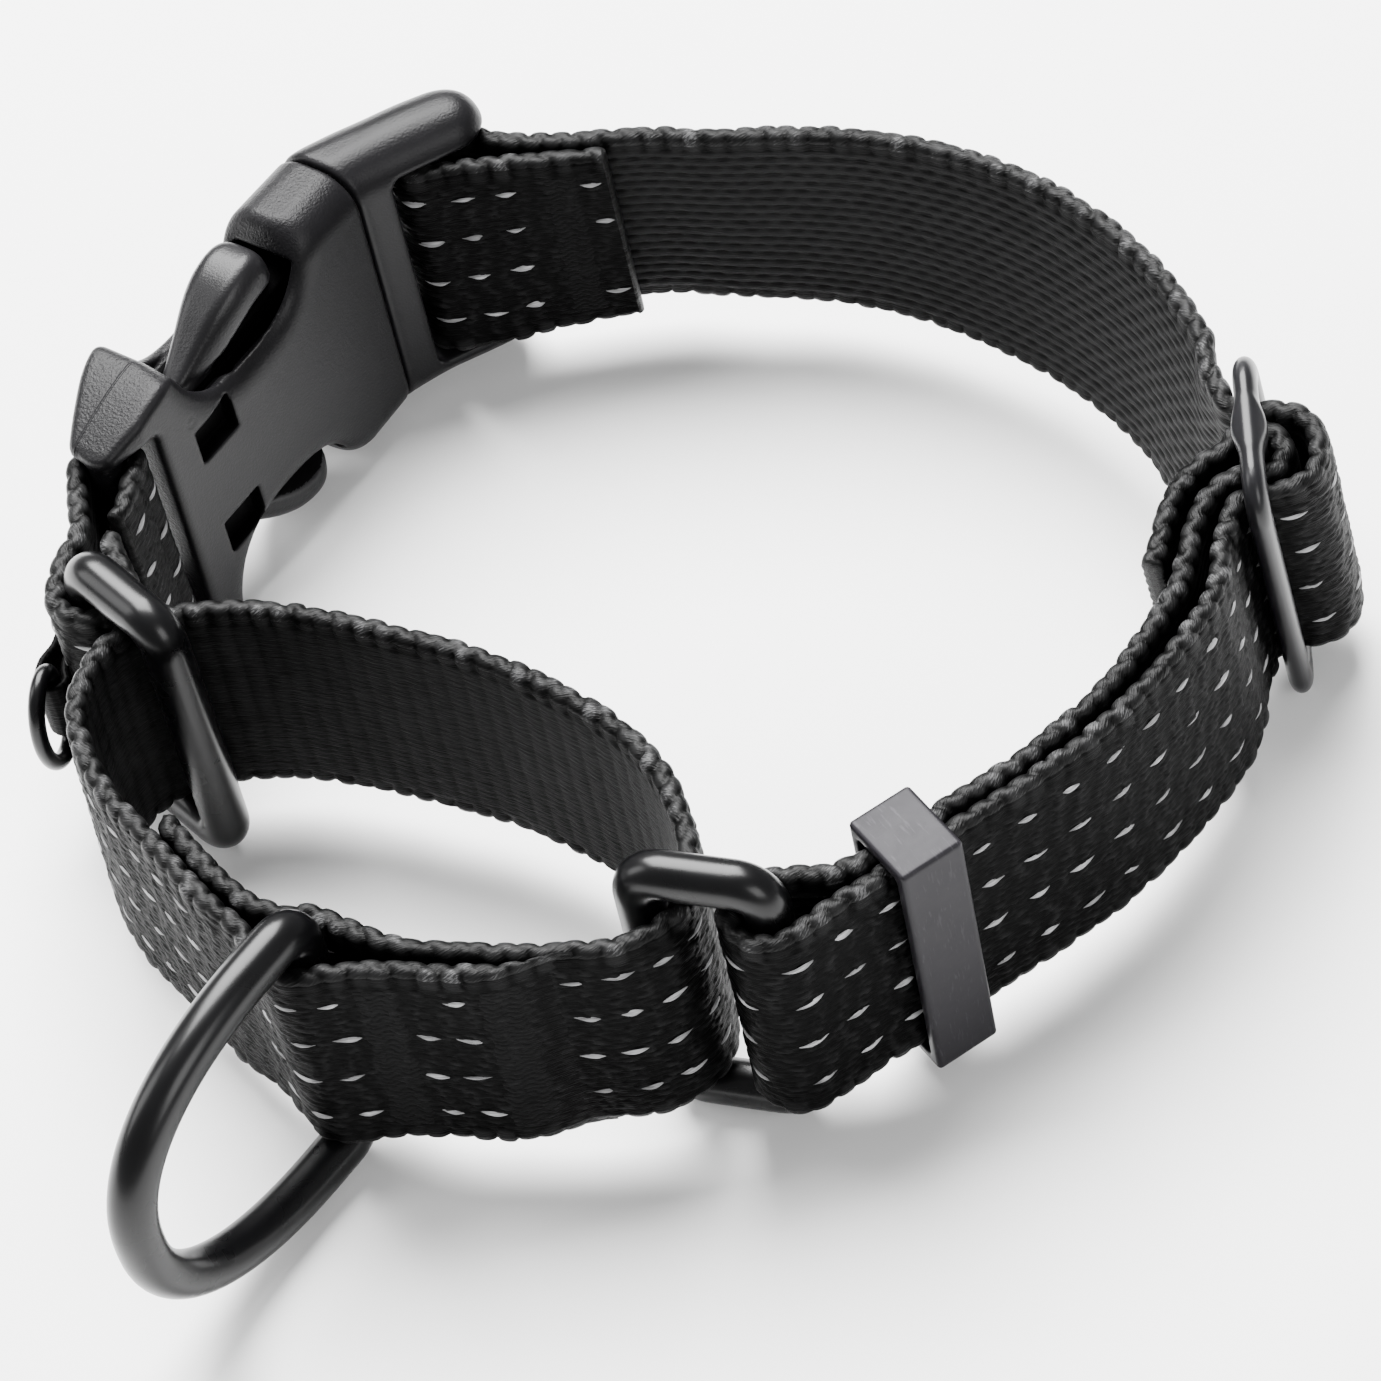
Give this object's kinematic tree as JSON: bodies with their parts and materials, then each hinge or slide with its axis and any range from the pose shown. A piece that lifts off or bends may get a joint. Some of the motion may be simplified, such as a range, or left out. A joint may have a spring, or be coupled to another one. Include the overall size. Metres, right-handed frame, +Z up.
{
  "type": "martingale collar",
  "caption": "Martingale collar for a dog: black webbing with reflective marks, side-release buckle, tri-glide slide, keeper, connecting rings, leash D-ring and tag ring.",
  "frame": {"origin": "centre of the bounding box in plan, on the floor plane the rings stand on", "axes": "+Z up, along the width of the webbing; +X towards the tri-glide slide; +Y towards the rear strap"},
  "size_m": [0.1232, 0.1166, 0.0347],
  "materials": {
    "rear_strap": "dense black nylon weave",
    "adjuster_strap": "dense black nylon weave",
    "short_strap": "dense black nylon weave",
    "martingale_loop": "dense black nylon weave",
    "tag_tab": "dense black nylon weave",
    "patch_bartack": "dense black zigzag thread",
    "loop_bartack_outer": "dense black zigzag thread",
    "loop_bartack_middle": "dense black zigzag thread",
    "loop_bartack_left": "dense black zigzag thread",
    "short_strap_bartack": "dense black zigzag thread",
    "adjuster_bartack": "dense black zigzag thread",
    "buckle_side_ring": "satin black coating over steel",
    "slide_side_ring": "satin black coating over steel",
    "leash_d_ring": "satin black coating over steel",
    "tag_ring": "satin black coating over steel",
    "slide": "satin black coating over steel",
    "keeper": "satin black coating over steel, lightly scuffed",
    "buckle_socket": "fine-grained black acetal",
    "buckle_plug": "fine-grained black acetal",
    "release_prong_upper": "fine-grained black acetal",
    "release_prong_lower": "fine-grained black acetal"
  },
  "bodies": {
    "collar": {"buckle_socket": "buckle_socket", "short_strap": "short_strap", "short_strap_bartack": "short_strap_bartack", "tag_tab": "tag_tab", "martingale_loop": "martingale_loop", "loop_bartack_outer": "loop_bartack_outer", "loop_bartack_middle": "loop_bartack_middle", "loop_bartack_left": "loop_bartack_left", "adjuster_strap": "adjuster_strap", "adjuster_bartack": "adjuster_bartack", "slide": "slide"},
    "strap_side": {"rear_strap": "rear_strap", "buckle_plug": "buckle_plug", "patch_bartack": "patch_bartack"},
    "prong_upper": {"release_prong_upper": "release_prong_upper"},
    "prong_lower": {"release_prong_lower": "release_prong_lower"},
    "buckle_ring": {"buckle_side_ring": "buckle_side_ring"},
    "slide_ring": {"slide_side_ring": "slide_side_ring"},
    "leash_ring": {"leash_d_ring": "leash_d_ring"},
    "tag_ring_body": {"tag_ring": "tag_ring"},
    "keeper_body": {"keeper": "keeper"}
  },
  "joints": [
    {"name": "buckle_release", "type": "slide", "parent": "collar", "child": "strap_side", "axis": [0.6997, 0.7145, 0], "range_m": [0, 0.028], "deforming": ["release_prong_upper", "release_prong_lower"]},
    {"name": "prong_upper_squeeze", "type": "hinge", "parent": "strap_side", "child": "prong_upper", "pos_m": [-0.0222, 0.04581, 0.02695], "axis": [-0.7145, 0.6997, 0], "range_deg": [-15, 0], "stiffness_Nm_per_rad": 0.02},
    {"name": "prong_lower_squeeze", "type": "hinge", "parent": "strap_side", "child": "prong_lower", "pos_m": [-0.0222, 0.04581, 0.00775], "axis": [-0.7145, 0.6997, 0], "range_deg": [0, 15], "stiffness_Nm_per_rad": 0.02},
    {"name": "buckle_ring_swivel", "type": "hinge", "parent": "collar", "child": "buckle_ring", "pos_m": [-0.05236, 0.00777, 0.01735], "axis": [0, 0, 1], "range_deg": [-10, 8]},
    {"name": "slide_ring_swivel", "type": "hinge", "parent": "collar", "child": "slide_ring", "pos_m": [0.00064, -0.04623, 0.01735], "axis": [0, 0, 1], "range_deg": [-9, 5]},
    {"name": "leash_ring_swing", "type": "hinge", "parent": "collar", "child": "leash_ring", "pos_m": [-0.03906, -0.03813, 0.01735], "axis": [0, 0, 1], "range_deg": [-70, 75]},
    {"name": "tag_ring_swing", "type": "hinge", "parent": "collar", "child": "tag_ring_body", "pos_m": [-0.05861, 0.00755, 0.0156], "axis": [0, 0, 1], "range_deg": [-70, 50]},
    {"name": "keeper_travel", "type": "slide", "parent": "collar", "child": "keeper_body", "axis": [0.9171, 0.3987, 0], "range_m": [-0.0015, 0.008]}
  ],
  "couplings": [
    {"joint": "prong_lower_squeeze", "follows": "prong_upper_squeeze", "ratio": -1}
  ]
}
